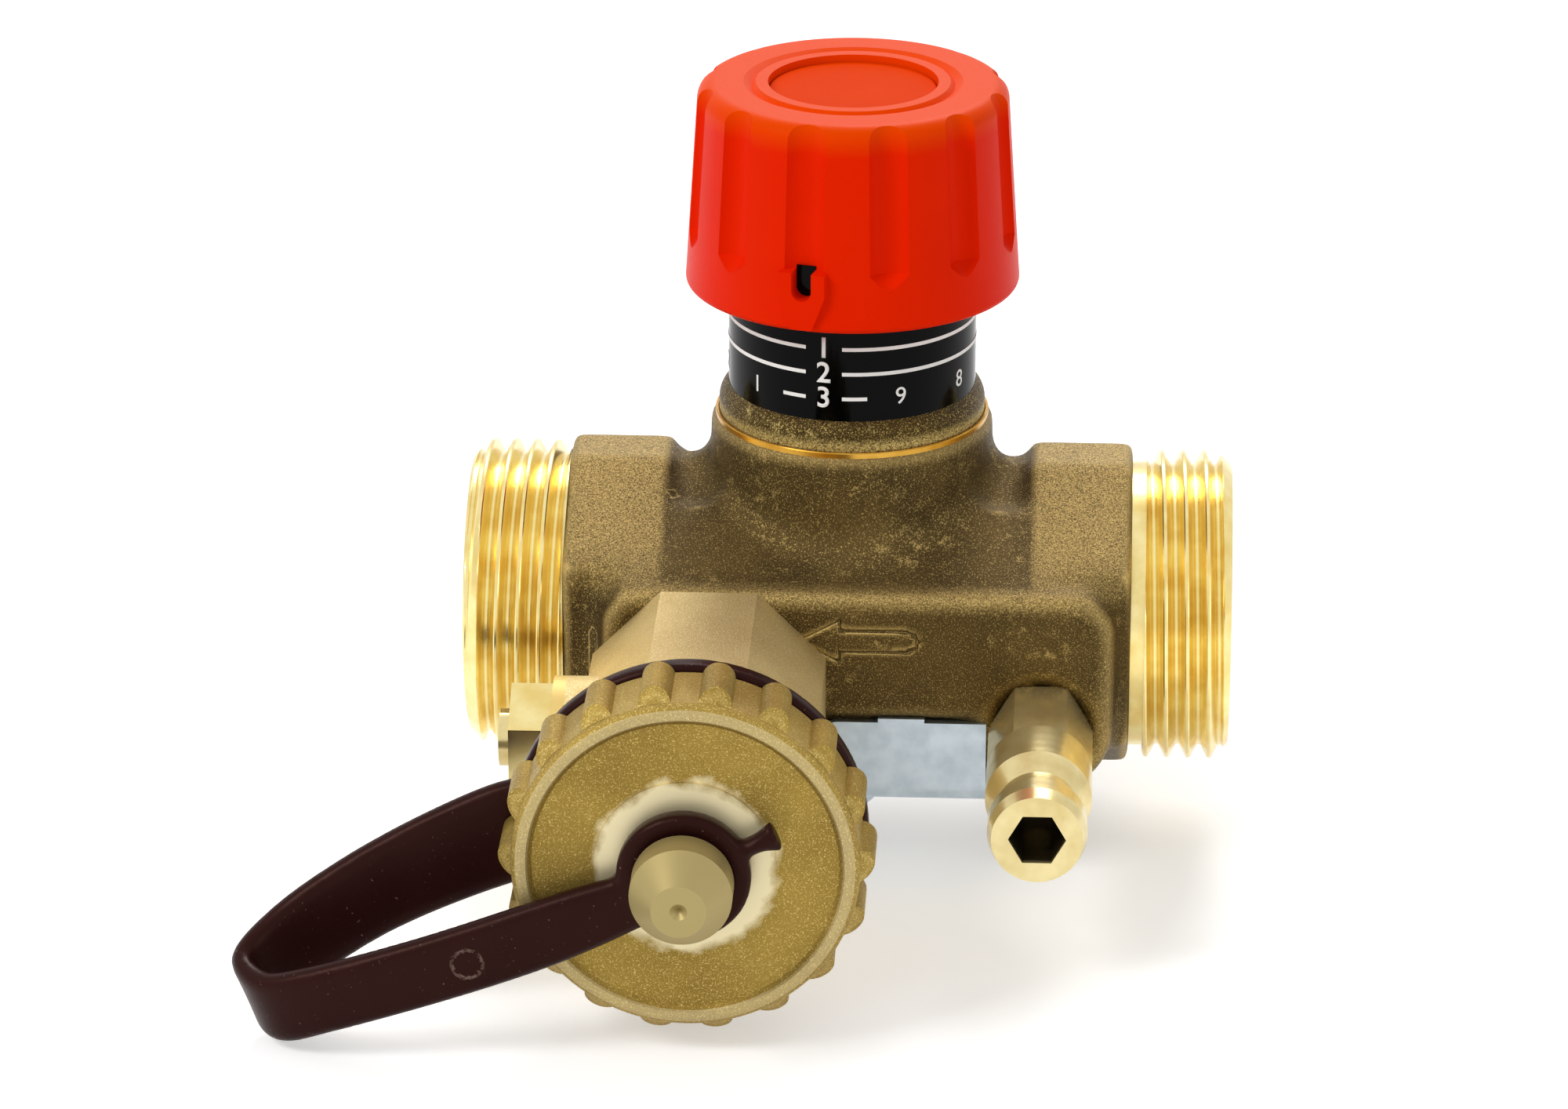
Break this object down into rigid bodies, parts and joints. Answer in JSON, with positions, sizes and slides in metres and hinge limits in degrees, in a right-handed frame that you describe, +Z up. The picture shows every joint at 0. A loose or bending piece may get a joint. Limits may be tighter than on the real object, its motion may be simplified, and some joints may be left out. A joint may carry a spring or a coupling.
{
  "type": "balancing valve",
  "caption": "Straight double-regulating balancing valve with male threaded ends, scale handwheel, drain cock with lobed cap on a strap, and test nipple",
  "frame": {"origin": "crossing of the pipe's axis and the spindle's axis, midway between the pipe ends", "axes": "+X along the pipe towards the inlet end, -Y is the front with the drain cock and the test nipple, +Z up along the spindle"},
  "size_m": [0.0809, 0.0729, 0.0659],
  "materials": {
    "forged_brass": "forged and shot-blasted, sandy",
    "turned_brass": "turned, bright",
    "red_plastic": "moulded, satin",
    "black_plastic": "moulded, glossy, printed white",
    "strap_plastic": "moulded, soft, satin",
    "seal_rubber": "moulded",
    "seat_plastic": "turned PTFE",
    "zinc_steel": "sheet steel, zinc plated",
    "plain_steel": "stainless",
    "ball_chrome": "plated brass ball"
  },
  "bodies": {
    "valve": {"valve_body": "forged_brass", "bonnet": "forged_brass", "drain_body": "forged_brass", "bonnet_o_ring": "seal_rubber", "spindle_o_ring_upper": "seal_rubber", "spindle_o_ring_lower": "seal_rubber", "drain_body_o_ring": "seal_rubber", "drain_stem_o_ring": "seal_rubber", "nipple_o_ring": "seal_rubber", "test_nipple": "turned_brass", "drain_gland_nut": "turned_brass", "ball_retainer": "turned_brass", "nipple_spring": "plain_steel", "scale_sleeve": "black_plastic", "ball_seat_inner": "seat_plastic", "ball_seat_outer": "seat_plastic", "retaining_strap": "strap_plastic", "lock_plate": "zinc_steel", "lock_screw": "zinc_steel"},
    "cone_carriage": {"valve_cone": "turned_brass", "cone_seal": "seal_rubber"},
    "wheel": {"spindle": "turned_brass", "cone_clip": "plain_steel", "handwheel": "red_plastic", "handwheel_insert": "red_plastic", "handwheel_screw": "plain_steel"},
    "drain_plug": {"drain_ball": "ball_chrome", "drain_stem": "turned_brass"},
    "cap_carriage": {"cap_gasket": "seal_rubber"},
    "cap": {"drain_cap": "forged_brass"},
    "poppet": {"nipple_poppet": "turned_brass"}
  },
  "joints": [
    {"name": "cone_lift", "type": "slide", "parent": "valve", "child": "cone_carriage", "axis": [0, 0, 1], "range_m": [-0.00704, 0]},
    {"name": "wheel_turn", "type": "hinge", "parent": "cone_carriage", "child": "wheel", "pos_m": [0, 0, 0.036], "axis": [0, 0, -1], "range_deg": [0, 1152]},
    {"name": "drain_turn", "type": "hinge", "parent": "valve", "child": "drain_plug", "pos_m": [-0.0113, -0.025, -0.0028], "axis": [-1, 0, 0], "range_deg": [0, 90]},
    {"name": "cap_lift", "type": "slide", "parent": "valve", "child": "cap_carriage", "axis": [0, -1, 0], "range_m": [0, 0.00408], "deforming": ["retaining_strap"]},
    {"name": "cap_turn", "type": "hinge", "parent": "cap_carriage", "child": "cap", "pos_m": [-0.0113, -0.047, -0.0028], "axis": [0, -1, 0], "range_deg": [0, 810]},
    {"name": "poppet_slide", "type": "slide", "parent": "valve", "child": "poppet", "axis": [0, 1, 0], "range_m": [0, 0.002], "stiffness_N_per_m": 400, "springref_m": -0.001, "deforming": ["nipple_spring"]}
  ],
  "couplings": [
    {"joint": "wheel_turn", "follows": "cone_lift", "rad_per_m": -2856},
    {"joint": "cap_turn", "follows": "cap_lift", "rad_per_m": 3463.7}
  ]
}
